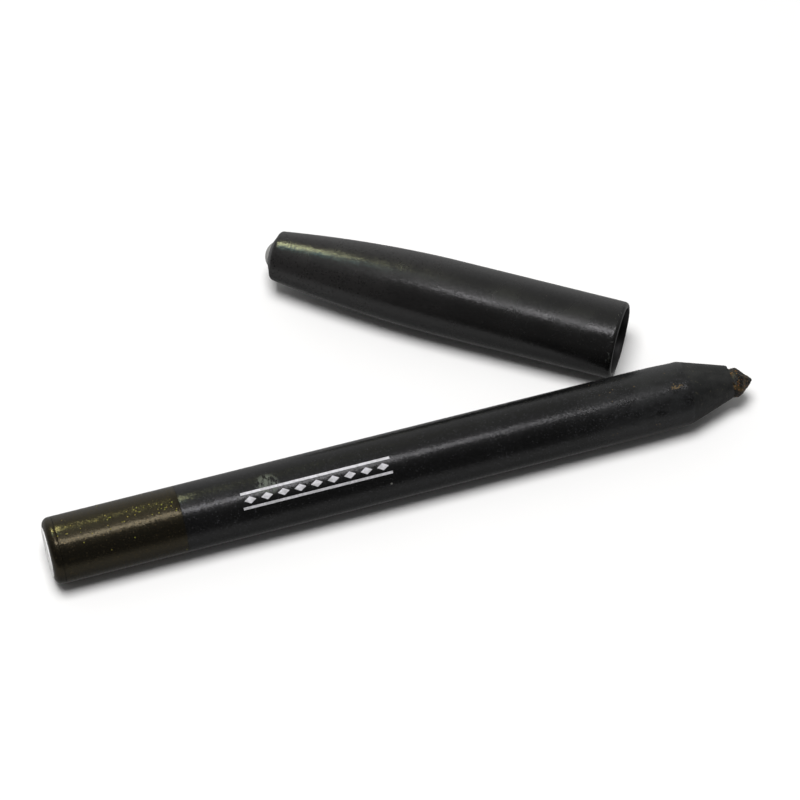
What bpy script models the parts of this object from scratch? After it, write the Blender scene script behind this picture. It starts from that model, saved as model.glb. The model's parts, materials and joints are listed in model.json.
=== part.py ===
"""Sharpened cosmetic pencil with its pull-off cap lying behind it.

Frame: +X runs along the pencil from its tail to its tip, +Z is up, and the
origin is the centre of the bottom of the whole part's bounding box, so the
pencil and the cap both rest on Z = 0. All sizes are in metres.
"""

import math

import bmesh
import bpy
from mathutils import Vector

MM = 0.001

# Pencil barrel
BARREL_RADIUS = 3.9 * MM
BORE_RADIUS = 1.75 * MM
CONE_START = 76.6 * MM
CONE_END = 82.3 * MM
CONE_END_RADIUS = 1.97 * MM
WORN_LENGTH = 5.6 * MM
WORN_DEPTH = 0.11 * MM
WORN_MIDDLE_DEPTH = 0.08 * MM
CONE_EDGE_ROUNDING = 0.35 * MM
CONE_EDGE_SOFTENING = 0.2

# Coloured tail sleeve, flush with the barrel
SLEEVE_END = 15.65 * MM
SLEEVE_WALL = 0.42 * MM

# Tail plug and its round label
LABEL_RADIUS = 2.85 * MM
LABEL_THICKNESS = 0.12 * MM
PLUG_FACE = 0.15 * MM
PLUG_HEAD_END = 1.3 * MM
PLUG_FILLET = 0.87 * MM
PLUG_SPIGOT_END = 7.0 * MM

# Pigment core, broken off at its front end
CORE_RADIUS = 1.7 * MM
CORE_STEP_END = 82.6 * MM
CORE_BREAK_START = 83.15 * MM
CORE_TIP = 85.2 * MM
CORE_TIP_RADIUS = 0.25 * MM
CORE_OFFSET = 0.33 * MM
CORE_OFFSET_DIRECTION = (0.0, -0.82, -0.57)
CORE_TIP_SHARES = (0.35, 0.7, 1.0)

# Cap, measured along its axis from the edge of its tail bevel to its mouth
CAP_LENGTH = 42.9 * MM
CAP_RADIUS = 4.66 * MM
CAP_TAIL_RADIUS = 3.0 * MM
CAP_TAPER_LENGTH = 21.5 * MM
CAP_TAPER_POWER = 1.85
CAP_BEVEL_HEIGHT = 0.69 * MM
CAP_HOLE_RADIUS = 1.55 * MM
CAP_WALL = 0.58 * MM
CAP_BORE_RADIUS = 4.0 * MM
CAP_LIP_ROUNDING = 0.5 * MM
CAP_FLOOR = 1.4 * MM
MOUTH_AT = (71.87 * MM, 8.77 * MM)
CAP_TURN = math.radians(-34.1)

# Inner seal of the cap
SEAL_END = 18.5 * MM
SEAL_WALL = 0.6 * MM
SEAL_FLOOR = 3.2 * MM
NUB_RADIUS = 1.5 * MM
NUB_HEIGHT = 0.7 * MM

FIT_GAP = 0.05 * MM
FACE_GAP = 0.1 * MM
FACETS = 48
ARC_STEPS = 5
PLUG_ARC_STEPS = 6
CAP_OUTSIDE_STEPS = 10
CAP_INSIDE_STEPS = 6
SEAL_OUTSIDE_STEPS = 6
SEAL_INSIDE_STEPS = 5
WELD_DISTANCE = 1e-6
SHARP_ANGLE = math.radians(35.0)

# Base colour, roughness and clear coat of each piece
FINISHES = {
    "barrel": ((0.012, 0.012, 0.013), 0.32, 0.4),
    "shade_sleeve": ((0.030, 0.028, 0.014), 0.35, 0.4),
    "tail_plug": ((0.026, 0.024, 0.014), 0.38, 0.3),
    "tail_label": ((0.82, 0.82, 0.80), 0.6, 0.0),
    "pigment_core": ((0.040, 0.034, 0.014), 0.6, 0.0),
    "cap_shell": ((0.010, 0.011, 0.011), 0.3, 0.5),
    "cap_inner_seal": ((0.22, 0.22, 0.21), 0.5, 0.0),
}


def clear_scene():
    for existing in list(bpy.data.objects):
        bpy.data.objects.remove(existing, do_unlink=True)


def finish_of(name):
    """Principled material of one piece."""
    colour, roughness, coat = FINISHES[name]
    material = bpy.data.materials.new(name)
    material.use_nodes = True
    shader = material.node_tree.nodes["Principled BSDF"]
    shader.inputs["Base Color"].default_value = (*colour, 1.0)
    shader.inputs["Roughness"].default_value = roughness
    shader.inputs["Metallic"].default_value = 0.0
    shader.inputs["Coat Weight"].default_value = coat
    return material


def arc(centre, radius, start, end, steps=ARC_STEPS):
    """Points of an arc in the (axial, radial) plane, angles in degrees."""
    points = []
    for step in range(steps + 1):
        angle = math.radians(start + (end - start) * step / steps)
        axial = centre[0] + radius * math.cos(angle)
        radial = centre[1] + radius * math.sin(angle)
        points.append((axial, radial))
    return points


def turned(name, profile, parent, closed):
    """Spin an (axial, radial) profile about the parent's X axis.

    A closed profile makes a tube; an open one starts and ends on the axis.
    """
    mesh = bpy.data.meshes.new(name)
    body = bmesh.new()
    ring = [body.verts.new((axial, 0.0, radial)) for axial, radial in profile]
    edges = [body.edges.new(pair) for pair in zip(ring, ring[1:])]
    if closed:
        edges.append(body.edges.new((ring[-1], ring[0])))
    bmesh.ops.spin(
        body,
        geom=ring + edges,
        cent=(0.0, 0.0, 0.0),
        axis=(1.0, 0.0, 0.0),
        angle=math.tau,
        steps=FACETS,
        use_merge=False,
    )
    bmesh.ops.remove_doubles(body, verts=body.verts, dist=WELD_DISTANCE)
    bmesh.ops.recalc_face_normals(body, faces=body.faces)
    body.to_mesh(mesh)
    body.free()
    mesh.shade_smooth()
    mesh.set_sharp_from_angle(angle=SHARP_ANGLE)
    mesh.materials.append(finish_of(name))
    piece = bpy.data.objects.new(name, mesh)
    bpy.context.scene.collection.objects.link(piece)
    piece.parent = parent
    return piece


def axis_empty(name, location, turn):
    """Empty whose X axis is the axis of the pieces parented to it."""
    empty = bpy.data.objects.new(name, None)
    empty.location = location
    empty.rotation_euler = (0.0, 0.0, turn)
    bpy.context.scene.collection.objects.link(empty)
    return empty


def make_barrel(parent):
    """Black tube, turned down under the sleeve and sharpened to a cone."""
    neck_radius = BARREL_RADIUS - SLEEVE_WALL - FIT_GAP
    tail = PLUG_HEAD_END + FACE_GAP
    worn_radius = BARREL_RADIUS - WORN_DEPTH
    slope = (worn_radius - CONE_END_RADIUS) / (CONE_END - CONE_START)
    rounding_drop = slope * CONE_EDGE_ROUNDING
    profile = [
        (tail, BORE_RADIUS),
        (tail, neck_radius),
        (SLEEVE_END + FACE_GAP, neck_radius),
        (SLEEVE_END + FACE_GAP, BARREL_RADIUS),
        (CONE_START - WORN_LENGTH, BARREL_RADIUS),
        (CONE_START - WORN_LENGTH / 2, BARREL_RADIUS - WORN_MIDDLE_DEPTH),
        (CONE_START - CONE_EDGE_ROUNDING, worn_radius),
        (CONE_START, worn_radius - CONE_EDGE_SOFTENING * rounding_drop),
        (CONE_START + CONE_EDGE_ROUNDING, worn_radius - (1.0 + CONE_EDGE_SOFTENING) * rounding_drop),
        (CONE_END, CONE_END_RADIUS),
        (CONE_END, BORE_RADIUS),
    ]
    return turned("barrel", profile, parent, closed=True)


def make_shade_sleeve(parent):
    """Coloured sleeve on the turned-down tail, flush with the barrel."""
    inner = BARREL_RADIUS - SLEEVE_WALL
    start = PLUG_HEAD_END + FACE_GAP
    profile = [
        (start, inner),
        (start, BARREL_RADIUS),
        (SLEEVE_END, BARREL_RADIUS),
        (SLEEVE_END, inner),
    ]
    return turned("shade_sleeve", profile, parent, closed=True)


def make_tail_plug(parent):
    """Round-edged head that closes the tube, with a spigot in the bore."""
    spigot_radius = BORE_RADIUS - FIT_GAP
    fillet_centre = (PLUG_FACE + PLUG_FILLET, BARREL_RADIUS - PLUG_FILLET)
    profile = [(PLUG_FACE, 0.0)]
    profile += arc(fillet_centre, PLUG_FILLET, 180.0, 90.0, PLUG_ARC_STEPS)
    profile += [
        (PLUG_HEAD_END, BARREL_RADIUS),
        (PLUG_HEAD_END, spigot_radius),
        (PLUG_SPIGOT_END, spigot_radius),
        (PLUG_SPIGOT_END, 0.0),
    ]
    return turned("tail_plug", profile, parent, closed=False)


def make_tail_label(parent):
    """Blank round sticker on the plug's flat face."""
    back = LABEL_THICKNESS
    profile = [(0.0, 0.0), (0.0, LABEL_RADIUS), (back, LABEL_RADIUS), (back, 0.0)]
    return turned("tail_label", profile, parent, closed=False)


def make_pigment_core(parent):
    """Wax core that fills the bore and ends in an off-centre, broken stub."""
    base = PLUG_SPIGOT_END + FACE_GAP
    span = CORE_TIP - CORE_BREAK_START
    profile = [(base, 0.0), (base, CORE_RADIUS), (CONE_END, CORE_RADIUS)]
    profile += [(CORE_STEP_END, CORE_RADIUS), (CORE_BREAK_START, CORE_RADIUS)]
    for share in CORE_TIP_SHARES:
        radius = CORE_RADIUS + (CORE_TIP_RADIUS - CORE_RADIUS) * share
        profile.append((CORE_BREAK_START + span * share, radius))
    profile.append((CORE_TIP, 0.0))
    core = turned("pigment_core", profile, parent, closed=False)
    offset = Vector(CORE_OFFSET_DIRECTION) * CORE_OFFSET
    for vertex in core.data.vertices:
        if vertex.co.x > CONE_END + FIT_GAP:
            vertex.co += offset
    return core


def cap_outer_radius(axial):
    """Outer radius of the cap: a convex taper, then a cylinder."""
    short_of_cylinder = max(0.0, 1.0 - axial / CAP_TAPER_LENGTH)
    drop = CAP_RADIUS - CAP_TAIL_RADIUS
    return CAP_RADIUS - drop * short_of_cylinder**CAP_TAPER_POWER


def taper_stations(start, end, steps):
    """Evenly spaced axial places along the cap's taper."""
    return [start + (end - start) * step / steps for step in range(steps + 1)]


def make_cap_shell(parent):
    """Cap shell: bevelled tail with a hole, ogive taper and round lip."""
    mouth = CAP_LENGTH
    lip_centre = (mouth - CAP_LIP_ROUNDING, CAP_RADIUS - CAP_LIP_ROUNDING)
    outer = [(-CAP_BEVEL_HEIGHT, CAP_HOLE_RADIUS)]
    for axial in taper_stations(0.0, CAP_TAPER_LENGTH, CAP_OUTSIDE_STEPS):
        outer.append((axial, cap_outer_radius(axial)))
    outer += arc(lip_centre, CAP_LIP_ROUNDING, 90.0, 0.0)
    seat = SEAL_END + FACE_GAP
    inner = [(mouth, CAP_BORE_RADIUS), (seat + CAP_WALL, CAP_BORE_RADIUS)]
    for axial in taper_stations(seat, CAP_FLOOR, CAP_INSIDE_STEPS):
        inner.append((axial, min(cap_outer_radius(axial) - CAP_WALL, CAP_BORE_RADIUS)))
    inner.append((CAP_FLOOR, CAP_HOLE_RADIUS))
    return turned("cap_shell", outer + inner, parent, closed=True)


def make_cap_inner_seal(parent):
    """Soft cup that closes on the sharpened cone; its nub fills the hole."""
    dome_height = NUB_HEIGHT
    dome_radius = (NUB_RADIUS**2 + dome_height**2) / (2.0 * dome_height)
    half_angle = math.degrees(math.asin(NUB_RADIUS / dome_radius))
    dome_centre = (-CAP_BEVEL_HEIGHT - dome_height + dome_radius, 0.0)
    outside = arc(dome_centre, dome_radius, 180.0, 180.0 - half_angle)
    outside[0] = (outside[0][0], 0.0)
    floor = CAP_FLOOR + FACE_GAP
    outside.append((floor, NUB_RADIUS))
    clearance = CAP_WALL + FIT_GAP
    limit = CAP_BORE_RADIUS - FIT_GAP
    for axial in taper_stations(floor, SEAL_END, SEAL_OUTSIDE_STEPS):
        outside.append((axial, min(cap_outer_radius(axial) - clearance, limit)))
    inside = []
    for axial in taper_stations(SEAL_END, SEAL_FLOOR, SEAL_INSIDE_STEPS):
        radius = min(cap_outer_radius(axial) - clearance, limit) - SEAL_WALL
        inside.append((axial, radius))
    inside.append((SEAL_FLOOR, 0.0))
    return turned("cap_inner_seal", outside + inside, parent, closed=False)


def centre_on_floor(parents):
    """Move the axis empties so the whole part stands on the origin."""
    bpy.context.view_layer.update()
    points = []
    for piece in bpy.context.scene.objects:
        if piece.type == "MESH":
            points += [piece.matrix_world @ vertex.co for vertex in piece.data.vertices]
    low = [min(point[i] for point in points) for i in range(3)]
    high = [max(point[i] for point in points) for i in range(3)]
    shift = Vector(((low[0] + high[0]) / 2, (low[1] + high[1]) / 2, low[2]))
    for parent in parents:
        parent.location = parent.location - shift


def main():
    clear_scene()
    pencil_axis = axis_empty("pencil_axis", (0.0, 0.0, BARREL_RADIUS), 0.0)
    make_barrel(pencil_axis)
    make_shade_sleeve(pencil_axis)
    make_tail_plug(pencil_axis)
    make_tail_label(pencil_axis)
    make_pigment_core(pencil_axis)
    along = Vector((math.cos(CAP_TURN), math.sin(CAP_TURN), 0.0))
    mouth = Vector((*MOUTH_AT, CAP_RADIUS))
    cap_axis = axis_empty("cap_axis", mouth - along * CAP_LENGTH, CAP_TURN)
    make_cap_shell(cap_axis)
    make_cap_inner_seal(cap_axis)
    centre_on_floor([pencil_axis, cap_axis])
    bpy.context.view_layer.update()


main()
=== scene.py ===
"""Visual model of a used cosmetic pencil with its pull-off cap lying behind it."""

import json
import math

import bmesh
import bpy
import numpy as np
from mathutils import Matrix, Vector, noise


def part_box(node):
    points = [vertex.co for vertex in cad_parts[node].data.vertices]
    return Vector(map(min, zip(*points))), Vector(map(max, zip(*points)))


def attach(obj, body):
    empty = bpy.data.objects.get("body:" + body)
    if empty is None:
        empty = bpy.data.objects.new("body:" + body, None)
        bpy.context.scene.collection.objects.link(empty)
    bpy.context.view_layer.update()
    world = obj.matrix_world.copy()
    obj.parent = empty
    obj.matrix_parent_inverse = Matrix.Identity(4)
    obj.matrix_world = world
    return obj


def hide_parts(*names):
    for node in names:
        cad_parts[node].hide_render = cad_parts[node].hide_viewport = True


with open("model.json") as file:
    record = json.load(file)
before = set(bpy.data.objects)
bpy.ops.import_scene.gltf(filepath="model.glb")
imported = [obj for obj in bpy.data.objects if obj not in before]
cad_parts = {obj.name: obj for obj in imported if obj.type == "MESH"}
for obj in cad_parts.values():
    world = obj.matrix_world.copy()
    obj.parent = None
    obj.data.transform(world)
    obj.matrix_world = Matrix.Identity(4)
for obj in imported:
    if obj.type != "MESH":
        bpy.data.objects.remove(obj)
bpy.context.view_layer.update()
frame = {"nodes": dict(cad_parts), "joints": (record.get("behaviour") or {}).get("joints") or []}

MM = 0.001
# Index of a part of a vector, or of a colour: red, green, blue.
X, Y, Z = range(3)

# ---------------------------------------------------------------- pencil, mm
# A name that ends in _X is a distance from the tail along the axis, in _R a radius.
BARREL_R = 3.9
BORE_R = 1.75
NECK_R = 3.43
HEAD_END_X = 1.3
SEAM_X = 15.65
SEAM_EDGE = 0.03
FACE_GAP = 0.02

WORN_START_X = 71.0
WORN_DEPTH = 0.10
DENT_DEPTH = 0.022
CONE_START_X = 76.7
CONE_END_X = 82.3
CONE_END_R = 1.97
CONE_SLOPE = 0.325
CONE_EDGE_ROUNDING = 0.10
BLADE_FLAT_DEPTH = 0.05
BLADE_FLAT_TWIST = 0.25
SHAVING_DEPTH = 0.004
SHAVING_RADIANS_PER_MM = 17.0
SHAVING_WAVER = 3.0
RAGGED_START_X = 81.3
RAGGED_DEPTH = 0.09
CHIP_DEPTH = 0.05

SLEEVE_WALL = 0.42
SLEEVE_EDGE = 0.04
PLUG_FACE_X = 0.15
PLUG_FILLET = 0.87
PLUG_FLAT_R = 2.0
PLUG_BACK_EDGE = 0.05
SPIGOT_R = BORE_R - 0.05
SPIGOT_END_X = 7.0
LABEL_R = 2.85
LABEL_FLAT_R = 2.1
LABEL_FACE_X = 0.025
LABEL_EDGE = 0.04
LABEL_THICKNESS = 0.12
LABEL_LIFT = 0.012
LABEL_DOTS = 8.0
DOT_RING_R = 1.9
DOT_R = 0.17

CORE_START_X = 7.1
CORE_R = 1.69
NARROW_CORE_R = 1.64
CORE_MOUTH_R = 1.65
BORE_DRAWN_FROM_X = 79.0
SHIFT_START_X = 79.5
SHIFT_LENGTH = 2.8
CORE_OFFSET = 0.31
OFFSET_ANGLE = math.radians(215.0)
BORE_NARROWING = 0.07
STUB_R = 1.74
STUB_START_X = 83.0
STUB_TIP_X = 85.14
CRUMBLE_LENGTH = 0.5
LUMP_DEPTH = 0.05
CRUMB_DEPTH = 0.035
AXIAL_CRUMB = 0.03

FOIL_START_X = 22.6
FOIL_END_X = 40.3
FOIL_ANGLE = math.radians(120.3)
FOIL_DEPTH = 0.02
RULE_OFFSET = 0.86
RULE_WIDTH = 0.30
RULE_HEIGHT = 0.012
LOZENGES = 9
LOZENGE_HALF_LENGTH = 0.70
LOZENGE_HALF_WIDTH = 0.42
LOZENGE_HEIGHT = 0.014

# ---------------------------------------------------------------- cap, mm
# Distances along the axis are from the edge of the tail's bevel.
CAP_LENGTH = 42.9
CAP_R = 4.66
CAP_TAIL_R = 3.0
CAP_TAPER = 21.5
CAP_TAPER_POWER = 1.85
CAP_BORE_R = 4.0
CAP_WALL = 0.58
CAP_BEVEL = 0.69
CAP_HOLE_R = 1.55
CAP_LIP = 0.5
CAP_FLOOR = 1.4
NICK_REACH = 0.85
NICK_FADE = 0.8
NICK_DEPTH = 0.04
NICK_THRESHOLD = 0.25
TAIL_EDGE_END = 0.6
TAIL_EDGE_FADE = 0.8
TAIL_UNEVENNESS = 0.015
SEAL_END = 18.5
SEAL_WALL = 0.6
SEAL_FLOOR = 3.2
SEAL_GAP = 0.05
NUB_R = 1.52
NUB_HEIGHT = 0.7

# Outline of the cap's tail, from the hole's edge over the bevel to the side.
CAP_TAIL_OUTLINE = (
    (-CAP_BEVEL, CAP_HOLE_R),
    (-CAP_BEVEL + 0.02, CAP_HOLE_R + 0.05),
    (-0.36, 2.24),
    (-0.10, CAP_TAIL_R - 0.18),
    (0.06, CAP_TAIL_R - 0.03),
)

# ---------------------------------------------------------------- meshes
PENCIL_SEGMENTS = 192
CAP_SEGMENTS = 192
SMALL_SEGMENTS = 160
LABEL_SEGMENTS = 96
SHARP_DEGREES = 40.0
# Small allowance between two places, mm.
TOUCH = 0.01
# Brings Blender's noise to about -1 to 1.
NOISE_GAIN = 1.6

# ---------------------------------------------------------------- marks
# Each mark on the barrel: place along X in mm and round the axis, its radius
# and the softness of its edge in mm.
SMEAR_MARK = (25.9, math.radians(101.0), 1.15, 0.45)
SPECK_MARK = (39.9, math.radians(153.0), 0.12, 0.05)
SMUDGE_MARK = (75.2, math.radians(109.0), 0.62, 0.30)
SMUDGE_Y = -1.30
# Angle about the pencil's axis of the upper band, facing the lights, where the olive flecks are crowded in
# as painted glints.
GLINT_BAND_ANGLE = math.radians(94.0)
# Each pair: where along the piece something is absent, and where it is full, mm.
TIP_WEAR = (58.0, 73.0)
SEAM_FLECKS = (7.0, 15.0)
RICH_GLITTER = (84.6, 83.4)
HAZE_TOWARDS_TAIL = (40.0, 0.0)
CAP_SPECKS = (30.0, 38.0)
# Where the painted shade in the cap's bore sets in, mm.
BORE_SHADE = (19.5, 20.5)
LIP_SCUFF = (CAP_LENGTH - 0.85, CAP_LENGTH - 0.60)
LIP_EDGE = (CAP_LENGTH - 0.05, CAP_LENGTH - 0.20)

# ---------------------------------------------------------------- colours, linear RGB
BLACK_LACQUER = (0.0031, 0.0031, 0.0032)
BLACK_FLAKE = (0.07, 0.07, 0.075)
WORN_FILM = (0.0138, 0.0142, 0.0147)
SMEAR_GREY = (0.15, 0.17, 0.14)
SPECK_GREY = (0.12, 0.12, 0.11)
SMUDGE_GOLD = (0.15, 0.10, 0.04)
CLEAN_CONE = (0.0075, 0.0080, 0.0080)
SMEARED_CONE = (0.0168, 0.0170, 0.0163)
CONE_GRAIN = (0.06, 0.055, 0.035)
OLIVE_LACQUER = (0.0042, 0.0038, 0.0029)
OLIVE_FLAKE = (0.09, 0.07, 0.038)
OLIVE_GLARE = (1.0, 0.86, 0.56)
GREEN_FLECK = (0.22, 0.25, 0.03)
GOLD_FLECK = (0.26, 0.21, 0.05)
PAPER_SHADE = (0.90, 0.90, 0.885)
PAPER_LIGHT = (0.95, 0.95, 0.94)
PAPER_INK = (0.03, 0.03, 0.03)
DARK_WAX = (0.0035, 0.0035, 0.0028)
BROWN_WAX = (0.050, 0.032, 0.012)
GOLD_GLITTER = (0.34, 0.20, 0.07)
RUST_GLITTER = (0.26, 0.09, 0.025)
CAP_LACQUER = (0.0030, 0.0031, 0.0030)
CAP_FLAKE = (0.07, 0.07, 0.07)
CAP_HAZE = (0.0158, 0.0149, 0.0147)
# Painted shade deep in the cap's bore, darker than the lacquer.
CAP_BORE_PAINTED_SHADE = (0.0015, 0.0014, 0.0013)
CAP_SCUFF = (0.075, 0.080, 0.075)
CAP_SPECK = (0.12, 0.09, 0.075)
SEAL_DARK = (0.22, 0.22, 0.215)
SEAL_LIGHT = (0.34, 0.34, 0.325)
FOIL_BRIGHT = (0.62, 0.61, 0.64)
FOIL_WORN = (0.46, 0.455, 0.47)
FLOOR_SHADE = (0.88, 0.875, 0.87)
FLOOR_LIGHT = (0.91, 0.905, 0.90)
WHITE = (1.0, 1.0, 1.0)

# ---------------------------------------------------------------- finishes
# A pair of roughness values is for the smoothest and the roughest places.
BARREL_ROUGH = 0.23
FILM_ROUGH = 0.35
DIRT_ROUGH = 0.55
CONE_ROUGH = 0.52
OLIVE_ROUGH = (0.18, 0.25)
FLECK_ROUGH = 0.5
PAPER_ROUGH = 0.55
WAX_ROUGH = 0.45
CAP_ROUGH = (0.20, 0.30)
SCUFF_ROUGH = 0.55
BORE_ROUGH = 0.48
SEAL_ROUGH = (0.36, 0.48)
FOIL_ROUGH = (0.32, 0.50)
FLOOR_ROUGH = 0.9
FLAKE_METAL = 0.9
FLECK_METAL = 0.5
FOIL_METAL = 0.25
OLIVE_SPECULAR = 0.60
CAP_SPECULAR = 0.62
FLAKE_EDGE = 0.02

# ---------------------------------------------------------------- camera
CAMERA_ELEVATION = math.radians(55.0)
PENCIL_YAW = math.radians(16.807)
CAMERA_DISTANCE_M = 0.400
CAMERA_CLIP_M = 0.01
LENS_MM = 151.6
SENSOR_MM = 36.0
TARGET_FROM_TAIL_MM = (45.348, 11.255)

# ---------------------------------------------------------------- lights
# Places and sizes are in mm, in the camera's ground axes, from the target.
OVERHEAD_PLACE = (-60.0, -55.0, 750.0)
OVERHEAD_SIZE = (330.0, 330.0)
OVERHEAD_RADIANCE = 16.8
BOX_HEIGHT = 350.0
# Name, place, size, radiance, colour, and swing about the vertical in degrees.
SOFT_BOXES = (
    ("strip", (13.0, -72.0), (190.0, 50.0), 7.0, (1.0, 0.985, 1.02), 14.0),
    ("side_glow", (-80.0, 24.0), (64.0, 250.0), 0.42, WHITE, -15.0),
    ("near_glow", (-56.0, -22.0), (48.0, 140.0), 1.25, (1.0, 0.98, 0.99), -15.0),
    ("back_window", (-169.0, 222.0), (66.0, 110.0), 24.0, (0.98, 1.0, 0.56), 0.0),
    ("back_fringe", (-160.0, 130.0), (60.0, 76.0), 3.2, (0.42, 0.95, 1.05), 0.0),
)
FLOOR_HALF_SIZE_M = 1.5


# ================================================================ frame
def pencil_matrix():
    """Tail end of the pencil's axis, +X towards the tip."""
    low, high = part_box("barrel")
    tail_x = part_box("tail_label")[0].x
    return Matrix.Translation((tail_x, (low.y + high.y) / 2, (low.z + high.z) / 2))


def cap_matrix():
    """Edge of the cap's tail bevel, +X towards its mouth."""
    along = -Vector(frame["joints"][0]["axis"])
    points = [vertex.co for vertex in frame["nodes"]["cap_shell"].data.vertices]
    reach = max(point.dot(along) for point in points)
    rim = [point for point in points if point.dot(along) > reach - TOUCH * MM]
    mouth = sum(rim, Vector()) / len(rim)
    turn = Matrix.Rotation(math.atan2(along.y, along.x), 4, "Z")
    return Matrix.Translation(mouth - along * CAP_LENGTH * MM) @ turn


# ================================================================ mesh tools
def arc(centre, radius, start, end, steps):
    """(axial, radial) points of an arc, angles in degrees."""
    angles = np.radians(np.linspace(start, end, steps + 1))
    return [(centre[0] + radius * math.cos(a), centre[1] + radius * math.sin(a)) for a in angles]


def run(start, end, radius, step):
    """(axial, radial) points of a straight cylinder stretch."""
    count = max(1, round(abs(end - start) / step))
    return [(x, radius) for x in np.linspace(start, end, count + 1)]


def turned(name, profile, segments, material, closed, shape=None):
    """Revolve an (axial, radial) profile in mm about X.

    shape(axial, radial, angle) returns the changed axial and radial places and
    the sideways shift (y, z) of one point.
    """
    body = bmesh.new()
    rings = []
    for axial, radial in profile:
        ring = []
        for index in range(segments):
            angle = math.tau * index / segments
            x, r, side = axial, radial, (0.0, 0.0)
            if shape is not None:
                x, r, side = shape(axial, radial, angle)
            y = r * math.cos(angle) + side[0]
            z = r * math.sin(angle) + side[1]
            ring.append(body.verts.new((x * MM, y * MM, z * MM)))
            if radial == 0.0:
                break
        rings.append(ring)
    pairs = list(zip(rings, rings[1:]))
    if closed:
        pairs.append((rings[-1], rings[0]))
    for first, second in pairs:
        join_rings(body, first, second, segments)
    bmesh.ops.recalc_face_normals(body, faces=body.faces)
    return finish_mesh(name, body, material)


def join_rings(body, first, second, segments):
    """Quads between two rings, or a fan where one of them is a single point."""
    for index in range(segments):
        after = (index + 1) % segments
        corners = [first[index % len(first)], first[after % len(first)]]
        corners += [second[after % len(second)], second[index % len(second)]]
        unique = list(dict.fromkeys(corners))
        if len(unique) > 2:
            body.faces.new(unique)


def finish_mesh(name, body, material):
    """Object from a bmesh, smooth but for its sharp edges."""
    mesh = bpy.data.meshes.new(name)
    body.to_mesh(mesh)
    body.free()
    mesh.shade_smooth()
    mesh.set_sharp_from_angle(angle=math.radians(SHARP_DEGREES))
    mesh.materials.append(material)
    piece = bpy.data.objects.new(name, mesh)
    bpy.context.scene.collection.objects.link(piece)
    return piece


def place(piece, matrix, body, node=None):
    """Put a piece in the frame, on its CAD body, and hide the CAD part it stands for.

    The turn goes into the mesh, so the piece's own box stays in line with the
    frame and gives its true size.
    """
    piece.data.transform(matrix.to_3x3().to_4x4())
    piece.matrix_world = Matrix.Translation(matrix.translation)
    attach(piece, body)
    if node:
        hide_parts(node)


def smooth(value):
    """0 to 1 with soft ends, held outside that range."""
    value = min(1.0, max(0.0, value))
    return value * value * (3.0 - 2.0 * value)


def ripple(x, angle, around, along, seed=0.0):
    """Smooth noise on a cylinder, about -1 to 1."""
    point = Vector((math.cos(angle) * around, math.sin(angle) * around, x * along + seed))
    return noise.noise(point) * NOISE_GAIN


# ================================================================ shader tools
class Tree:
    """Short names for building a node tree."""

    def __init__(self, tree):
        self.tree = tree

    def add(self, kind, **settings):
        node = self.tree.nodes.new(kind)
        for key, value in settings.items():
            setattr(node, key, value)
        return node

    def feed(self, socket, value):
        """Link a socket to another one, or give it a fixed value."""
        if isinstance(value, bpy.types.NodeSocket):
            self.tree.links.new(value, socket)
        elif isinstance(value, tuple) and socket.type == "RGBA":
            socket.default_value = (*value, 1.0)
        else:
            socket.default_value = value

    def calc(self, operation, *values):
        node = self.add("ShaderNodeMath", operation=operation)
        for socket, value in zip(node.inputs, values):
            self.feed(socket, value)
        return node.outputs[0]

    def product(self, result, *factors):
        for factor in factors:
            result = self.calc("MULTIPLY", result, factor)
        return result

    def opposite(self, share):
        """1 minus a share."""
        return self.calc("SUBTRACT", 1.0, share)

    def distance(self, value, centre):
        """How far a number is from another one."""
        return self.calc("ABSOLUTE", self.calc("SUBTRACT", value, centre))

    def vector(self, operation, first, second=None, scale=None):
        node = self.add("ShaderNodeVectorMath", operation=operation)
        self.feed(node.inputs[0], first)
        if second is not None:
            self.feed(node.inputs[1], second)
        if scale is not None:
            self.feed(node.inputs["Scale"], scale)
        number = operation in ("LENGTH", "DISTANCE", "DOT_PRODUCT")
        return node.outputs["Value" if number else "Vector"]

    def axis(self, vector, index):
        node = self.add("ShaderNodeSeparateXYZ")
        self.feed(node.inputs[0], vector)
        return node.outputs[index]

    def step(self, value, low, high, start=0.0, end=1.0):
        """start at low and end at high, held beyond them, smooth between.

        low may be the larger of the two.
        """
        node = self.add("ShaderNodeMapRange", interpolation_type="SMOOTHSTEP")
        self.feed(node.inputs["Value"], value)
        self.feed(node.inputs["From Min"], low)
        self.feed(node.inputs["From Max"], high)
        self.feed(node.inputs["To Min"], start)
        self.feed(node.inputs["To Max"], end)
        return node.outputs["Result"]

    def mix(self, factor, first, second):
        """Mix of two colours."""
        node = self.add("ShaderNodeMix", data_type="RGBA")
        self.feed(node.inputs["Factor"], factor)
        self.feed(node.inputs[6], first)
        self.feed(node.inputs[7], second)
        return node.outputs[2]

    def blend(self, factor, first, second):
        """Mix of two numbers."""
        node = self.add("ShaderNodeMix", data_type="FLOAT")
        self.feed(node.inputs[0], factor)
        self.feed(node.inputs[2], first)
        self.feed(node.inputs[3], second)
        return node.outputs[0]


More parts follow.
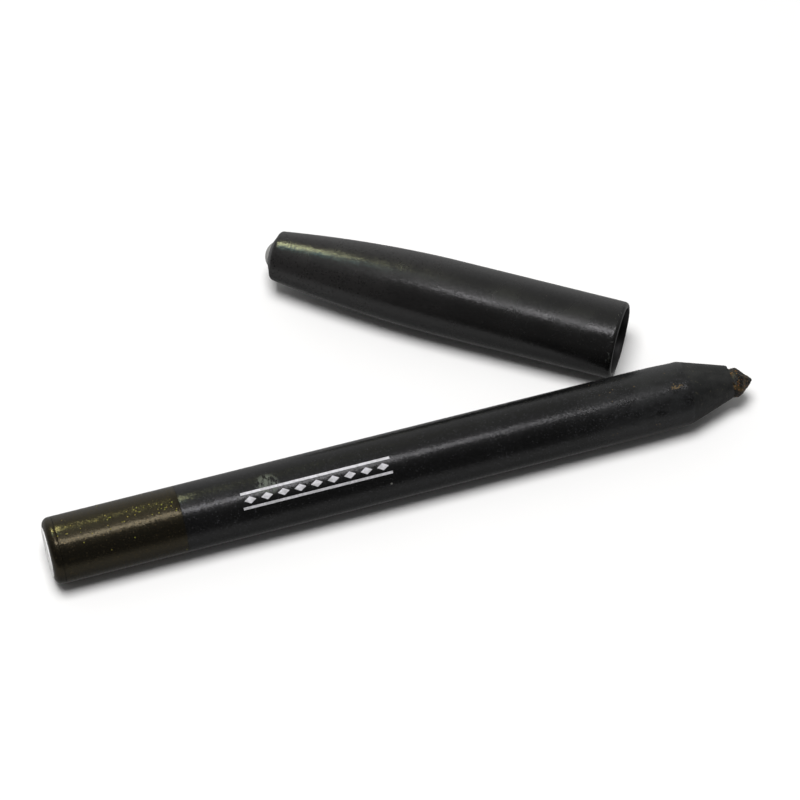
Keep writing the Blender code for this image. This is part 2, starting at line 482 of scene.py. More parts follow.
class Graph(Tree):
    """The node tree of one new material.

    position is in the piece's own axes, X along it; turn is the turn about Z
    that its mesh carries.
    """

    def __init__(self, name, turn=0.0):
        self.material = bpy.data.materials.new(name)
        self.material.use_nodes = True
        super().__init__(self.material.node_tree)
        self.shader = self.tree.nodes["Principled BSDF"]
        self.position = self.add("ShaderNodeTexCoord").outputs["Object"]
        if turn:
            unturn = self.add("ShaderNodeVectorRotate", rotation_type="Z_AXIS")
            unturn.inputs["Angle"].default_value = -turn
            self.feed(unturn.inputs["Vector"], self.position)
            self.position = unturn.outputs["Vector"]
        self.normal = self.add("ShaderNodeNewGeometry").outputs["Normal"]

    def along(self, absent, full):
        """0 at one place along the piece and 1 at the other, in mm."""
        return self.step(self.axis(self.position, X), absent * MM, full * MM)

    def radius(self):
        """Distance from the piece's axis, in mm."""
        return self.vector("LENGTH", self.stretch(0.0, 1.0 / MM, 1.0 / MM))

    def round_axis(self):
        """Angle about the piece's axis, from +Y towards +Z."""
        return self.calc("ARCTAN2", self.axis(self.position, Z), self.axis(self.position, Y))

    def stretch(self, x, y, z):
        return self.vector("MULTIPLY", self.position, (x, y, z))

    def noise(self, per_mm, detail, vector=None, rough=0.5):
        node = self.add("ShaderNodeTexNoise")
        self.feed(node.inputs["Vector"], vector or self.position)
        node.inputs["Scale"].default_value = per_mm / MM
        node.inputs["Detail"].default_value = detail
        node.inputs["Roughness"].default_value = rough
        return node.outputs["Fac"]

    def cells(self, per_mm, vector=None):
        """Random cells: the distance from each one's point, and its random colour."""
        node = self.add("ShaderNodeTexVoronoi")
        self.feed(node.inputs["Vector"], vector or self.position)
        node.inputs["Scale"].default_value = per_mm / MM
        return node.outputs["Distance"], node.outputs["Color"]

    def tint(self, colour, other, mask, strength):
        """colour, with the other one laid over it where the mask is."""
        return self.mix(self.product(mask, strength), colour, other)

    def bump(self, height, distance_mm, strength, normal=None):
        node = self.add("ShaderNodeBump")
        self.feed(node.inputs["Height"], height)
        node.inputs["Distance"].default_value = distance_mm * MM
        self.feed(node.inputs["Strength"], strength)
        if normal is not None:
            self.feed(node.inputs["Normal"], normal)
        return node.outputs["Normal"]

    def surface(self, **inputs):
        """Feed the shader's inputs, spaces written as _, and give the material."""
        for name, value in inputs.items():
            self.feed(self.shader.inputs[name.replace("_", " ")], value)
        return self.material


# ================================================================ materials
def at_angle(x, angle, radius=BARREL_R):
    """Point on a cylinder in mm, as metres in the piece's own axes."""
    return (x * MM, radius * math.cos(angle) * MM, radius * math.sin(angle) * MM)


def tilted(graph, cell_colour, tilt):
    """Surface normal tipped by a random amount in each cell."""
    offset = graph.vector("SUBTRACT", cell_colour, (0.5, 0.5, 0.5))
    scaled = graph.vector("SCALE", offset, scale=tilt)
    return graph.vector("NORMALIZE", graph.vector("ADD", graph.normal, scaled))


def mark(graph, x, angle, radius, softness):
    """1 inside a ball round a place on the barrel, fading out at its edge; mm."""
    distance = graph.vector("DISTANCE", graph.position, at_angle(x, angle))
    return graph.opposite(graph.step(distance, (radius - softness) * MM, (radius + softness) * MM))


def grains(graph, distance, chance, threshold, outer, inner):
    """1 on a round grain in each cell whose random number is above threshold."""
    chosen = graph.calc("GREATER_THAN", chance, threshold)
    return graph.product(chosen, graph.step(distance, outer, inner))


def flake_layer(graph, base, tint, per_mm, share, tilt):
    """Fine metal flakes in a dark lacquer: colour, flake mask and normal."""
    _, random_colour = graph.cells(per_mm)
    chance = graph.axis(random_colour, X)
    flake = graph.step(chance, 1.0 - share - FLAKE_EDGE, 1.0 - share + FLAKE_EDGE)
    return graph.mix(flake, base, tint), flake, tilted(graph, random_colour, tilt)


def flake_metal(graph, flake, covered):
    """Metallic value of the flakes, none where something covers them."""
    shown = graph.calc("SUBTRACT", FLAKE_METAL, graph.product(covered, FLAKE_METAL))
    return graph.product(flake, shown)


def worn_film(graph, near_tip):
    """Dull film where the barrel is handled, patchy at the tip and faint elsewhere."""
    long_way = graph.stretch(0.6, 1.0, 1.0)
    patches = graph.noise(per_mm=0.42, detail=6.0, vector=long_way, rough=0.68)
    film = graph.product(near_tip, graph.step(patches, low=0.28, high=0.60))
    clouds = graph.noise(per_mm=0.16, detail=4.0)
    faint = graph.product(graph.step(clouds, low=0.50, high=0.72), 0.15)
    return graph.calc("MAXIMUM", film, faint)


def finger_smear(graph):
    """Streaky pale smear beside the ornament."""
    across = graph.stretch(1.6, 0.7, 0.7)
    streaks = graph.noise(per_mm=1.5, detail=4.0, vector=across, rough=0.6)
    return graph.product(mark(graph, *SMEAR_MARK), graph.step(streaks, low=0.40, high=0.55))


def gold_smudge(graph, near_tip):
    """Pigment smudge near the cone, and loose crumbs of it over the worn end."""
    across = graph.distance(graph.axis(graph.position, Y), SMUDGE_Y * MM)
    smudge = graph.product(mark(graph, *SMUDGE_MARK), graph.step(across, 0.26 * MM, 0.12 * MM))
    broken = graph.step(graph.noise(per_mm=3.6, detail=3.0), low=0.46, high=0.54)
    distance, random_colour = graph.cells(per_mm=3.4)
    chance = graph.axis(random_colour, Y)
    crumbs = grains(graph, distance, chance, threshold=0.975, outer=0.32, inner=0.20)
    return graph.calc("MAXIMUM", graph.product(smudge, broken), graph.product(crumbs, near_tip))


def bare_cone(graph):
    """1 where the blade has cut the lacquer away, with a ragged edge."""
    raggedness = graph.calc("SUBTRACT", graph.noise(per_mm=0.55, detail=4.0), 0.5)
    radius = graph.calc("ADD", graph.radius(), graph.product(raggedness, 0.35))
    return graph.opposite(graph.step(radius, low=3.70, high=3.78))


def cone_colour(graph):
    """Bare plastic of the cone, smeared with pigment in streaks."""
    long_way = graph.stretch(0.5, 1.0, 1.0)
    streaks = graph.noise(per_mm=0.7, detail=5.0, vector=long_way, rough=0.62)
    colour = graph.mix(graph.step(streaks, low=0.40, high=0.66), CLEAN_CONE, SMEARED_CONE)
    _, random_colour = graph.cells(per_mm=6.0)
    grain = graph.calc("GREATER_THAN", graph.axis(random_colour, X), 0.985)
    return graph.tint(colour, CONE_GRAIN, grain, strength=0.35)


def barrel_material():
    """Black flake lacquer, worn and smeared at the tip; bare matt cone."""
    graph = Graph("barrel_lacquer")
    base, flake, normal = flake_layer(graph, BLACK_LACQUER, BLACK_FLAKE, per_mm=9.0, share=0.07, tilt=0.11)
    near_tip = graph.along(*TIP_WEAR)
    film = worn_film(graph, near_tip)
    smear = finger_smear(graph)
    gold = gold_smudge(graph, near_tip)
    bare = bare_cone(graph)

    colour = graph.tint(base, WORN_FILM, film, strength=0.9)
    colour = graph.tint(colour, SMEAR_GREY, smear, strength=0.65)
    colour = graph.mix(mark(graph, *SPECK_MARK), colour, SPECK_GREY)
    colour = graph.tint(colour, SMUDGE_GOLD, gold, strength=0.75)
    colour = graph.mix(bare, colour, cone_colour(graph))

    rough = graph.blend(film, BARREL_ROUGH, FILM_ROUGH)
    rough = graph.blend(graph.calc("MAXIMUM", smear, gold), rough, DIRT_ROUGH)
    rough = graph.blend(bare, rough, CONE_ROUGH)
    metal = flake_metal(graph, flake, graph.calc("MAXIMUM", bare, film))

    shavings = graph.noise(per_mm=1.5, detail=4.0, vector=graph.stretch(1.8, 0.6, 0.6))
    orange_peel = graph.product(graph.noise(per_mm=0.9, detail=3.0), 0.22)
    height = graph.blend(bare, orange_peel, shavings)
    bumped = graph.bump(height, distance_mm=0.04, strength=0.6, normal=normal)
    return graph.surface(Base_Color=colour, Metallic=metal, Roughness=rough, Normal=bumped)


def olive_material(name, shift_mm):
    """Dark olive lacquer with fine gold flake and larger green-gold flecks; the flecks crowd into a band on
    the upper side, facing the lights, as painted glints.
    """
    graph = Graph(name)
    base, flake, normal = flake_layer(graph, OLIVE_LACQUER, OLIVE_FLAKE, per_mm=11.0, share=0.05, tilt=0.12)
    # The flecks are real glitter; crowding them into the upper band, where they catch the light, paints
    # glints there.
    off_glint_band = graph.distance(graph.round_axis(), GLINT_BAND_ANGLE)
    glint_band = graph.step(off_glint_band, math.radians(19.0), math.radians(7.0))
    near_seam = graph.along(*SEAM_FLECKS)
    sparse = graph.blend(glint_band, 0.995, graph.blend(near_seam, 0.93, 0.72))
    moved = graph.vector("ADD", graph.position, (shift_mm * MM, 0.0, 0.0))
    distance, random_colour = graph.cells(per_mm=4.4, vector=moved)
    fleck = grains(graph, distance, graph.axis(random_colour, Y), threshold=sparse, outer=0.42, inner=0.26)

    fleck_colour = graph.mix(graph.axis(random_colour, Z), GREEN_FLECK, GOLD_FLECK)
    colour = graph.tint(base, fleck_colour, fleck, strength=0.8)
    metal = graph.calc("MAXIMUM", graph.product(flake, FLAKE_METAL), graph.product(fleck, FLECK_METAL))
    rough = graph.blend(graph.noise(per_mm=0.35, detail=4.0), *OLIVE_ROUGH)
    rough = graph.blend(fleck, rough, FLECK_ROUGH)
    orange_peel = graph.product(graph.noise(per_mm=0.9, detail=3.0), 0.3)
    height = graph.calc("ADD", orange_peel, graph.product(fleck, 0.3))
    bumped = graph.bump(height, distance_mm=0.04, strength=0.5, normal=normal)
    graph.feed(graph.shader.inputs["Specular Tint"], OLIVE_GLARE)
    graph.feed(graph.shader.inputs["Specular IOR Level"], OLIVE_SPECULAR)
    return graph.surface(Base_Color=colour, Metallic=metal, Roughness=rough, Normal=bumped)


def label_material():
    """White coated paper with a faint fibre and a ring of plain dark dots."""
    graph = Graph("label_paper")
    fibre = graph.noise(per_mm=3.0, detail=5.0)
    colour = graph.mix(fibre, PAPER_SHADE, PAPER_LIGHT)
    waves = graph.calc("COSINE", graph.product(graph.round_axis(), LABEL_DOTS))
    on_ring = graph.calc("LESS_THAN", graph.distance(graph.radius(), DOT_RING_R), DOT_R)
    dots = graph.product(on_ring, graph.step(waves, low=0.80, high=0.88))
    colour = graph.mix(dots, colour, PAPER_INK)
    bumped = graph.bump(fibre, distance_mm=0.02, strength=0.5)
    return graph.surface(Base_Color=colour, Roughness=PAPER_ROUGH, Normal=bumped)


def pigment_material():
    """Waxy olive pigment with rusty gold glitter and dark pits."""
    graph = Graph("pigment_wax")
    lumps = graph.noise(per_mm=0.9, detail=5.0, rough=0.62)
    colour = graph.mix(graph.step(lumps, low=0.46, high=0.62), DARK_WAX, BROWN_WAX)
    distance, random_colour = graph.cells(per_mm=5.0)
    off_tip = graph.along(*RICH_GLITTER)
    sparse = graph.blend(off_tip, 0.90, 0.78)
    gold = grains(graph, distance, graph.axis(random_colour, X), threshold=sparse, outer=0.5, inner=0.3)
    glitter_colour = graph.mix(graph.axis(random_colour, Z), GOLD_GLITTER, RUST_GLITTER)
    colour = graph.tint(colour, glitter_colour, gold, strength=0.8)
    normal = tilted(graph, random_colour, tilt=0.6)
    pits = graph.noise(per_mm=2.2, detail=5.0)
    bumped = graph.bump(pits, distance_mm=0.10, strength=0.8, normal=normal)
    metal = graph.product(gold, FLECK_METAL)
    return graph.surface(Base_Color=colour, Metallic=metal, Roughness=WAX_ROUGH, Normal=bumped)


def cap_material(turn):
    """Glossy black lacquer with a patchy pale haze that grows towards the tail, scuffed at the lip, with
    painted shade in the bore.
    """
    graph = Graph("cap_lacquer", turn)
    base, flake, normal = flake_layer(graph, CAP_LACQUER, CAP_FLAKE, per_mm=9.0, share=0.06, tilt=0.10)
    in_bore = graph.opposite(graph.step(graph.radius(), low=CAP_BORE_R - 0.01, high=CAP_BORE_R + 0.05))
    # Painted shade deep in the bore: the lacquer there is darkened where little light reaches.
    inside = graph.product(in_bore, graph.along(*BORE_SHADE))
    lip = graph.product(graph.along(*LIP_SCUFF), graph.along(*LIP_EDGE))
    scratches = graph.step(graph.noise(per_mm=2.6, detail=5.0, rough=0.65), low=0.58, high=0.66)
    scuff = graph.product(lip, graph.opposite(inside), scratches)
    haze = graph.step(graph.noise(per_mm=0.22, detail=4.0), low=0.36, high=0.68)
    towards_tail = graph.along(*HAZE_TOWARDS_TAIL)
    # Pale haze in patches, fuller towards the tail and fainter at the mouth.
    handled = graph.product(graph.blend(towards_tail, 0.27, 1.0), graph.blend(haze, 0.75, 1.0))
    distance, random_colour = graph.cells(per_mm=2.4)
    speck = grains(graph, distance, graph.axis(random_colour, Y), threshold=0.985, outer=0.25, inner=0.15)
    speck = graph.product(speck, graph.along(*CAP_SPECKS))

    colour = graph.mix(handled, base, CAP_HAZE)
    colour = graph.mix(inside, colour, CAP_BORE_PAINTED_SHADE)
    colour = graph.tint(colour, CAP_SCUFF, scuff, strength=0.42)
    colour = graph.mix(speck, colour, CAP_SPECK)
    rough = graph.blend(haze, *CAP_ROUGH)
    rough = graph.blend(scuff, rough, SCUFF_ROUGH)
    rough = graph.blend(inside, rough, BORE_ROUGH)
    covered = graph.calc("MAXIMUM", graph.calc("MAXIMUM", scuff, inside), speck)
    metal = flake_metal(graph, flake, covered)
    hairlines = graph.noise(per_mm=2.0, detail=2.0, vector=graph.stretch(0.25, 1.8, 1.8))
    height = graph.calc("ADD", graph.product(hairlines, 0.12), graph.product(scuff, -0.6))
    bumped = graph.bump(height, distance_mm=0.04, strength=0.5, normal=normal)
    graph.feed(graph.shader.inputs["Specular IOR Level"], CAP_SPECULAR)
    return graph.surface(Base_Color=colour, Metallic=metal, Roughness=rough, Normal=bumped)


def seal_material(turn):
    """Grey moulded polyethylene, slightly cloudy."""
    graph = Graph("seal_polyethylene", turn)
    cloud = graph.noise(per_mm=0.8, detail=4.0)
    colour = graph.mix(cloud, SEAL_DARK, SEAL_LIGHT)
    rough = graph.blend(cloud, *SEAL_ROUGH)
    bumped = graph.bump(graph.noise(per_mm=2.4, detail=3.0), distance_mm=0.03, strength=0.5)
    return graph.surface(Base_Color=colour, Roughness=rough, Normal=bumped)


def foil_material():
    """Hot-stamped silver foil with fine wear."""
    graph = Graph("silver_foil")
    wear = graph.noise(per_mm=2.4, detail=5.0, rough=0.65)
    colour = graph.mix(graph.step(wear, low=0.42, high=0.64), FOIL_BRIGHT, FOIL_WORN)
    rough = graph.blend(wear, *FOIL_ROUGH)
    bumped = graph.bump(graph.noise(per_mm=4.0, detail=3.0), distance_mm=0.02, strength=0.5)
    return graph.surface(Base_Color=colour, Metallic=FOIL_METAL, Roughness=rough, Normal=bumped)


def floor_material():
    """Plain pale paper."""
    graph = Graph("floor_paper")
    grain = graph.noise(per_mm=0.05, detail=4.0)
    colour = graph.mix(grain, FLOOR_SHADE, FLOOR_LIGHT)
    bumped = graph.bump(grain, distance_mm=0.02, strength=0.3)
    return graph.surface(Base_Color=colour, Roughness=FLOOR_ROUGH, Normal=bumped)


# ================================================================ pencil
def off_axis(x):
    """How far the sharpened end's lean has set in at x, 0 to 1."""
    return smooth((x - SHIFT_START_X) / SHIFT_LENGTH)


def core_shift(x):
    """Sideways place of the core's centre, off the axis at the sharpened end."""
    amount = CORE_OFFSET * off_axis(x)
    return (amount * math.cos(OFFSET_ANGLE), amount * math.sin(OFFSET_ANGLE))


def worn_radius(x, angle):
    """Outer radius of the lacquered tube, rubbed down towards the cone."""
    wear = smooth((x - WORN_START_X) / (CONE_START_X - WORN_START_X))
    dents = DENT_DEPTH * ripple(x, angle, around=1.6, along=0.55, seed=3.0) * wear
    return BARREL_R - WORN_DEPTH * wear + dents


def cone_radius(x, angle):
    """Radius of the sharpened cone, with shallow flats left by the blade."""
    flats = BLADE_FLAT_DEPTH * ripple(x * BLADE_FLAT_TWIST, angle, around=1.5, along=0.4, seed=9.0)
    waver = SHAVING_WAVER * ripple(x, angle, around=1.2, along=0.3, seed=5.0)
    shavings = SHAVING_DEPTH * math.sin(x * SHAVING_RADIANS_PER_MM + waver)
    return CONE_END_R + (CONE_END_X - x) * CONE_SLOPE + flats + shavings


def soft_minimum(first, second, width):
    """Smaller of two numbers, rounded where they cross."""
    blend = max(width - abs(first - second), 0.0) / width
    return min(first, second) - blend * blend * width * 0.25


def front_edge(axial, angle):
    """Axial place moved by the ragged front edge of the plastic."""
    near_end = smooth((axial - RAGGED_START_X) / (CONE_END_X - RAGGED_START_X))
    ragged = RAGGED_DEPTH * ripple(2.0, angle, around=2.6, along=1.0, seed=4.0)
    chips = CHIP_DEPTH * ripple(7.0, angle, around=7.0, along=1.0)
    return axial + near_end * (ragged + chips)


def shape_barrel(axial, radial, angle):
    """Wear, cone and chipped front edge of the tube."""
    if radial <= BORE_R + TOUCH:
        narrowing = BORE_NARROWING * off_axis(axial)
        return front_edge(axial, angle), radial - narrowing, core_shift(axial)
    if axial < WORN_START_X:
        return axial, radial, (0.0, 0.0)
    x = front_edge(axial, angle)
    radius = soft_minimum(worn_radius(x, angle), cone_radius(x, angle), CONE_EDGE_ROUNDING)
    return x, radius, (0.0, 0.0)


def make_barrel(matrix):
    """Tube with its neck in the sleeve, its worn front end and its cone."""
    start = HEAD_END_X + FACE_GAP
    profile = [(start, BORE_R), (start, NECK_R), (SEAM_X + TOUCH, NECK_R)]
    corner = (SEAM_X + TOUCH + SEAM_EDGE, BARREL_R - SEAM_EDGE)
    profile += arc(corner, SEAM_EDGE, 180.0, 90.0, steps=4)
    profile += run(18.0, WORN_START_X, BARREL_R, step=2.0)
    profile += run(WORN_START_X + 0.2, CONE_START_X - 0.8, BARREL_R, step=0.2)
    profile += run(CONE_START_X - 0.75, CONE_END_X, BARREL_R, step=0.05)
    profile += run(CONE_END_X, BORE_DRAWN_FROM_X, BORE_R, step=0.3)
    piece = turned("barrel_body", profile, PENCIL_SEGMENTS, barrel_material(), True, shape_barrel)
    place(piece, matrix, "pencil", "barrel")


def make_sleeve(matrix):
    """Olive sleeve with a tiny rounded edge at each end."""
    inner = BARREL_R - SLEEVE_WALL
    low = HEAD_END_X + FACE_GAP
    high = SEAM_X
    edge_r = BARREL_R - SLEEVE_EDGE
    profile = [(low, inner)] + arc((low + SLEEVE_EDGE, edge_r), SLEEVE_EDGE, 180.0, 90.0, steps=4)
    profile += run(low + 1.0, high - 1.0, BARREL_R, step=1.5)
    profile += arc((high - SLEEVE_EDGE, edge_r), SLEEVE_EDGE, 90.0, 0.0, steps=4)
    profile.append((high, inner))
    material = olive_material("shade_lacquer", shift_mm=0.0)
    piece = turned("sleeve_body", profile, PENCIL_SEGMENTS, material, True)
    place(piece, matrix, "pencil", "shade_sleeve")


def make_plug(matrix):
    """Tail head with its rounded edge and the spigot behind it."""
    profile = [(PLUG_FACE_X, 0.0), (PLUG_FACE_X, PLUG_FLAT_R)]
    front = (PLUG_FACE_X + PLUG_FILLET, BARREL_R - PLUG_FILLET)
    profile += arc(front, PLUG_FILLET, 180.0, 90.0, steps=14)
    back = (HEAD_END_X - PLUG_BACK_EDGE, BARREL_R - PLUG_BACK_EDGE)
    profile += arc(back, PLUG_BACK_EDGE, 90.0, 0.0, steps=3)
    profile += [(HEAD_END_X, SPIGOT_R), (SPIGOT_END_X, SPIGOT_R), (SPIGOT_END_X, 0.0)]
    material = olive_material("plug_lacquer", shift_mm=5.0)
    piece = turned("plug_body", profile, PENCIL_SEGMENTS, material, False)
    place(piece, matrix, "pencil", "tail_plug")


def lift_label(axial, radial, angle):
    """Rim of the sticker, lifted by a hair in places."""
    edge = smooth((radial - LABEL_FLAT_R) / (LABEL_R - LABEL_FLAT_R))
    wave = LABEL_LIFT * ripple(0.0, angle, around=1.2, along=1.0, seed=2.0)
    return axial - edge * max(0.0, wave), radial, (0.0, 0.0)


def make_label(matrix):
    """Round sticker on the tail."""
    profile = [(LABEL_FACE_X, radius) for radius in (0.0, 1.0, LABEL_FLAT_R)]
    corner = (LABEL_FACE_X + LABEL_EDGE, LABEL_R - LABEL_EDGE)
    profile += arc(corner, LABEL_EDGE, 180.0, 90.0, steps=3)
    profile += [(LABEL_THICKNESS, radius) for radius in (LABEL_R, LABEL_FLAT_R, 0.0)]
    piece = turned("label_disc", profile, LABEL_SEGMENTS, label_material(), False, lift_label)
    place(piece, matrix, "pencil", "tail_label")


# Break planes of the stub: direction of each in degrees, reach from the core's
# centre line where the stub starts, and how fast that reach shrinks along X.
BREAK_PLANES = (
    (34.0, 2.02, 0.957),
    (214.0, 1.77, 0.660),
    (214.0, 3.69, 1.71),
    (124.0, 1.95, 0.80),
    (304.0, 1.90, 0.90),
    (80.0, 2.05, 0.93),
    (168.0, 2.10, 0.86),
    (262.0, 2.15, 0.95),
)
# Least cosine between a plane's direction and a point's for the plane to cut there.
GRAZING = 0.05


def stub_radius(x, angle):
    """Radius of the broken stub, cut by its break planes."""
    radius = STUB_R
    for direction, reach, shrink in BREAK_PLANES:
        left = max(0.0, reach - shrink * (x - STUB_START_X))
        facing = math.cos(angle - math.radians(direction))
        if facing > GRAZING:
            radius = min(radius, left / facing)
    return radius


def shape_core(axial, radial, angle):
    """Core in the bore, then the crumbled stub in front of it."""
    crumbled = smooth((axial - CONE_END_X) / CRUMBLE_LENGTH)
    radius = radial
    if axial > STUB_START_X - TOUCH and radial > 0.0:
        radius = stub_radius(axial, angle)
    if radial > 0.0:
        lumps = LUMP_DEPTH * ripple(axial, angle, around=2.0, along=1.6, seed=1.0)
        crumbs = CRUMB_DEPTH * ripple(axial, angle, around=6.0, along=5.0, seed=6.0)
        radius = max(0.0, radius + crumbled * (lumps + crumbs) * min(1.0, radius))
    forward = crumbled * AXIAL_CRUMB * ripple(axial, angle, around=3.0, along=2.0, seed=12.0)
    return axial + forward, radius, core_shift(axial)


def make_core(matrix):
    """Pigment core with its blunt, broken end."""
    profile = [(CORE_START_X, 0.0), (CORE_START_X, CORE_R)]
    profile += run(12.0, BORE_DRAWN_FROM_X, CORE_R, step=12.0)
    profile += run(SHIFT_START_X, CONE_END_X - 0.1, NARROW_CORE_R, step=0.4)
    profile += [(CONE_END_X + 0.05, NARROW_CORE_R), (CONE_END_X + 0.15, CORE_MOUTH_R)]
    length = STUB_START_X - CONE_END_X
    widening = STUB_R - CORE_MOUTH_R
    for share in (0.35, 0.5, 0.65, 0.8, 0.95):
        profile.append((CONE_END_X + share * length, CORE_MOUTH_R + share * widening))
    profile += run(STUB_START_X, STUB_TIP_X - 0.04, STUB_R, step=0.045)
    profile.append((STUB_TIP_X - TOUCH, 0.0))
    piece = turned("core_stub", profile, SMALL_SEGMENTS, pigment_material(), False, shape_core)
    place(piece, matrix, "pencil", "pigment_core")


# ================================================================ foil ornament
def foil_strip(body, outline, height):
    """Closed thin plate on the barrel from (axial, arc) outline points in mm."""
    rings = []
    for radius in (BARREL_R + height, BARREL_R - FOIL_DEPTH):
        ring = []
        for x, arc_length in outline:
            angle = FOIL_ANGLE - arc_length / BARREL_R
            ring.append(body.verts.new(at_angle(x, angle, radius)))
        rings.append(ring)
    top, bottom = rings
    body.faces.new(top)
    body.faces.new(list(reversed(bottom)))
    count = len(outline)
    for index in range(count):
        after = (index + 1) % count
        body.faces.new((top[after], top[index], bottom[index], bottom[after]))


def make_foil(matrix):
    """Two plain rules with a row of lozenges between them."""
    body = bmesh.new()
    start = FOIL_START_X
    end = FOIL_END_X
    for side in (-1.0, 1.0):
        low = side * RULE_OFFSET - RULE_WIDTH / 2
        high = low + RULE_WIDTH
        foil_strip(body, [(start, low), (end, low), (end, high), (start, high)], RULE_HEIGHT)
    length = LOZENGE_HALF_LENGTH
    width = LOZENGE_HALF_WIDTH
    for index in range(LOZENGES):
        x = start + (end - start) * (index + 0.5) / LOZENGES
        corners = [(x - length, 0.0), (x, -width), (x + length, 0.0), (x, width)]
        foil_strip(body, corners, LOZENGE_HEIGHT)
    bmesh.ops.recalc_face_normals(body, faces=body.faces)
    piece = finish_mesh("foil_ornament", body, foil_material())
    place(piece, matrix, "pencil")


# ================================================================ cap
def cap_outline(x):
    """Outer radius of the cap along its taper."""
    short = max(0.0, 1.0 - x / CAP_TAPER)
    return CAP_R - (CAP_R - CAP_TAIL_R) * short**CAP_TAPER_POWER


def taper(start, end, steps, inset):
    """(axial, radial) points along the taper, inset from its outside."""
    places = np.linspace(start, end, steps + 1)
    return [(x, min(cap_outline(x) - inset, CAP_BORE_R if inset else CAP_R)) for x in places]


def shape_cap(axial, radial, angle):
    """Nicks in the mouth's lip and a slightly uneven tail edge."""
    lip = smooth((axial - CAP_LENGTH + NICK_REACH) / NICK_FADE)
    wave = ripple(axial, angle, around=3.0, along=1.0, seed=4.0)
    nicks = lip * NICK_DEPTH * max(0.0, wave - NICK_THRESHOLD)
    near_tail = smooth((TAIL_EDGE_END - axial) / TAIL_EDGE_FADE)
    tail = near_tail * TAIL_UNEVENNESS * ripple(0.0, angle, around=2.0, along=1.0, seed=7.0)
    inside = radial < CAP_BORE_R + 0.03
    return axial - nicks, radial if inside else radial - nicks + tail, (0.0, 0.0)


def make_cap(matrix, turn):
    """Shell with its pierced, bevelled tail and rounded lip."""
    profile = list(CAP_TAIL_OUTLINE)
    profile += taper(0.22, CAP_TAPER, steps=44, inset=0.0)
    profile += run(CAP_TAPER + 1.5, CAP_LENGTH - 1.2, CAP_R, step=1.5)
    profile += run(CAP_LENGTH - 1.1, CAP_LENGTH - CAP_LIP - 0.1, CAP_R, step=0.1)
    profile += arc((CAP_LENGTH - CAP_LIP, CAP_R - CAP_LIP), CAP_LIP, 90.0, 0.0, steps=14)
    profile += [(CAP_LENGTH - 0.03, CAP_BORE_R + 0.05), (CAP_LENGTH - 0.10, CAP_BORE_R)]
    profile += run(CAP_LENGTH - 1.0, SEAL_END + 0.7, CAP_BORE_R, step=2.0)
    profile += taper(SEAL_END + 0.1, CAP_FLOOR, steps=16, inset=CAP_WALL)
    profile.append((CAP_FLOOR, CAP_HOLE_R))
    piece = turned("cap_body", profile, CAP_SEGMENTS, cap_material(turn), True, shape_cap)
    place(piece, matrix, "cap", "cap_shell")


def make_seal(matrix, turn):
    """Inner cup with the domed nub that shows through the cap's tail."""
    dome = (NUB_R**2 + NUB_HEIGHT**2) / (2.0 * NUB_HEIGHT)
    half = math.degrees(math.asin(NUB_R / dome))
    centre = (-CAP_BEVEL - NUB_HEIGHT + dome, 0.0)
    profile = arc(centre, dome, 180.0, 180.0 - half, steps=14)
    profile[0] = (profile[0][0], 0.0)
    floor = CAP_FLOOR + 0.1
    inset = CAP_WALL + SEAL_GAP
    profile.append((floor, NUB_R))
    profile += taper(floor, SEAL_END, steps=16, inset=inset)
    cup = taper(SEAL_END, SEAL_FLOOR, steps=14, inset=inset)
    profile += [(x, radius - SEAL_WALL) for x, radius in cup]
    profile.append((SEAL_FLOOR, 0.0))
    piece = turned("seal_body", profile, SMALL_SEGMENTS, seal_material(turn), False)
    place(piece, matrix, "cap", "cap_inner_seal")


# ================================================================ stage
def camera_axes(tail):
    """Target point, and rotation from the camera's ground axes to the frame."""
    turn = Matrix.Rotation(-PENCIL_YAW, 4, "Z")
    along, across = TARGET_FROM_TAIL_MM
    target = Vector((tail.x + along * MM, tail.y + across * MM, 0.0))
    return target, turn


def make_camera(target, turn):
    """Long lens, looking down at the target."""
    data = bpy.data.cameras.new("camera")
    data.lens = LENS_MM
    data.sensor_width = SENSOR_MM
    data.clip_start = CAMERA_CLIP_M
    camera = bpy.data.objects.new("camera", data)
    bpy.context.scene.collection.objects.link(camera)
    back = Vector((0.0, -math.cos(CAMERA_ELEVATION), math.sin(CAMERA_ELEVATION)))
    camera.location = target + turn @ (back * CAMERA_DISTANCE_M)
    camera.rotation_euler = (-(turn @ back)).to_track_quat("-Z", "Y").to_euler()
    bpy.context.scene.camera = camera


def soft_box(name, target, turn, place_mm, size_mm, radiance, colour=WHITE, swing=0.0):
    """Level rectangular light above the target, in the camera's ground axes."""
    width, depth = (side * MM for side in size_mm)
    data = bpy.data.lights.new(name, "AREA")
    data.shape = "RECTANGLE"
    data.size, data.size_y = width, depth
    data.energy = radiance * math.pi * width * depth
    data.color = colour
    lamp = bpy.data.objects.new(name, data)
    lamp.location = target + turn @ (Vector(place_mm) * MM)
    lamp.rotation_mode = "QUATERNION"
    lamp.rotation_quaternion = (turn @ Matrix.Rotation(math.radians(swing), 4, "Z")).to_quaternion()
    bpy.context.scene.collection.objects.link(lamp)
    return lamp


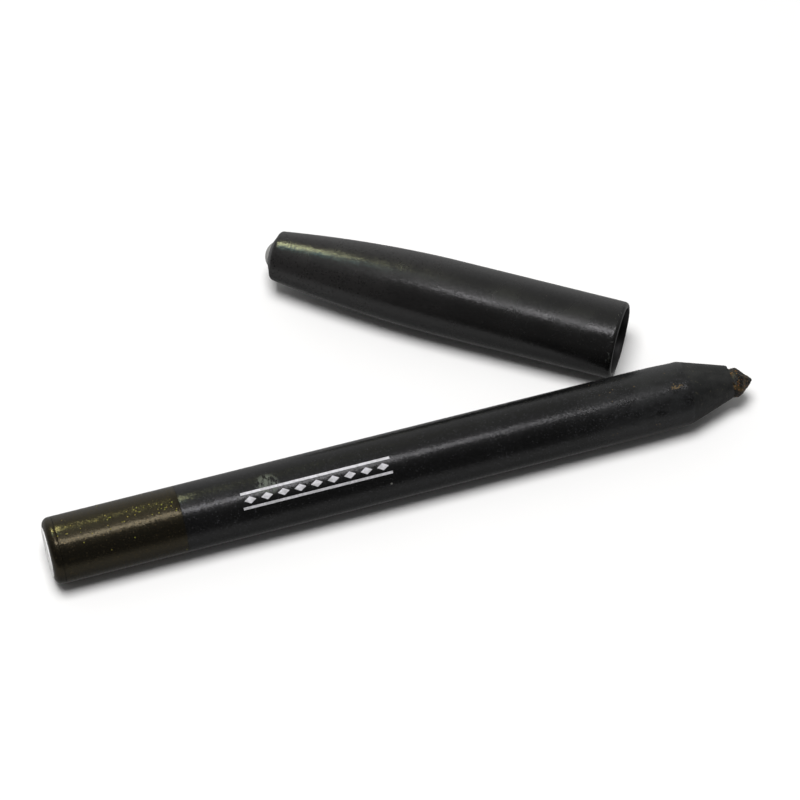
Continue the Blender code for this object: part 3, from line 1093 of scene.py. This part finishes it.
def make_lights(target, turn):
    """A diffuse light overhead, and soft boxes that only draw the highlights."""
    overhead = soft_box("overhead", target, turn, OVERHEAD_PLACE, OVERHEAD_SIZE, OVERHEAD_RADIANCE)
    overhead.visible_glossy = False
    for name, ground_place, size, radiance, colour, swing in SOFT_BOXES:
        lamp = soft_box(name, target, turn, (*ground_place, BOX_HEIGHT), size, radiance, colour, swing)
        lamp.visible_diffuse = False


def cosine_to(graph, direction, turn, axis):
    """Cosine between a direction and an axis given in the camera's ground axes."""
    return graph.vector("DOT_PRODUCT", direction, (turn @ Vector(axis))[:])


def make_world(turn):
    """Pale room, bright above and behind, dim in front; a grey ground below."""
    world = bpy.data.worlds.new("room")
    bpy.context.scene.world = world
    world.use_nodes = True
    graph = Tree(world.node_tree)
    direction = graph.add("ShaderNodeTexCoord").outputs["Generated"]
    height = graph.axis(direction, Z)
    up_and_back = cosine_to(graph, direction, turn, (0.0, 0.8, 0.6))
    backward = cosine_to(graph, direction, turn, (-0.1, 1.0, 0.0))
    room = graph.step(up_and_back, low=-0.25, high=0.75, start=0.06, end=0.33)
    horizon = graph.step(backward, low=0.64, high=1.0, start=0.0, end=0.19)
    ground = graph.step(height, low=-0.95, high=-0.45, start=0.15, end=0.36)
    above = graph.step(height, low=-0.32, high=0.02)
    sky = graph.tree.nodes["Background"]
    graph.feed(sky.inputs["Color"], WHITE)
    graph.feed(sky.inputs["Strength"], graph.blend(above, ground, graph.calc("ADD", room, horizon)))


def make_floor():
    """Plain floor, left out of the reflections."""
    body = bmesh.new()
    bmesh.ops.create_grid(body, x_segments=8, y_segments=8, size=FLOOR_HALF_SIZE_M)
    floor = finish_mesh("floor", body, floor_material())
    floor.visible_glossy = False


def main():
    pencil = pencil_matrix()
    cap = cap_matrix()
    cap_turn = cap.to_euler().z
    make_barrel(pencil)
    make_sleeve(pencil)
    make_plug(pencil)
    make_label(pencil)
    make_core(pencil)
    make_foil(pencil)
    make_cap(cap, cap_turn)
    make_seal(cap, cap_turn)
    target, turn = camera_axes(pencil.translation)
    make_camera(target, turn)
    make_lights(target, turn)
    make_world(turn)
    make_floor()
    bpy.context.scene.view_settings.view_transform = "Standard"


main()
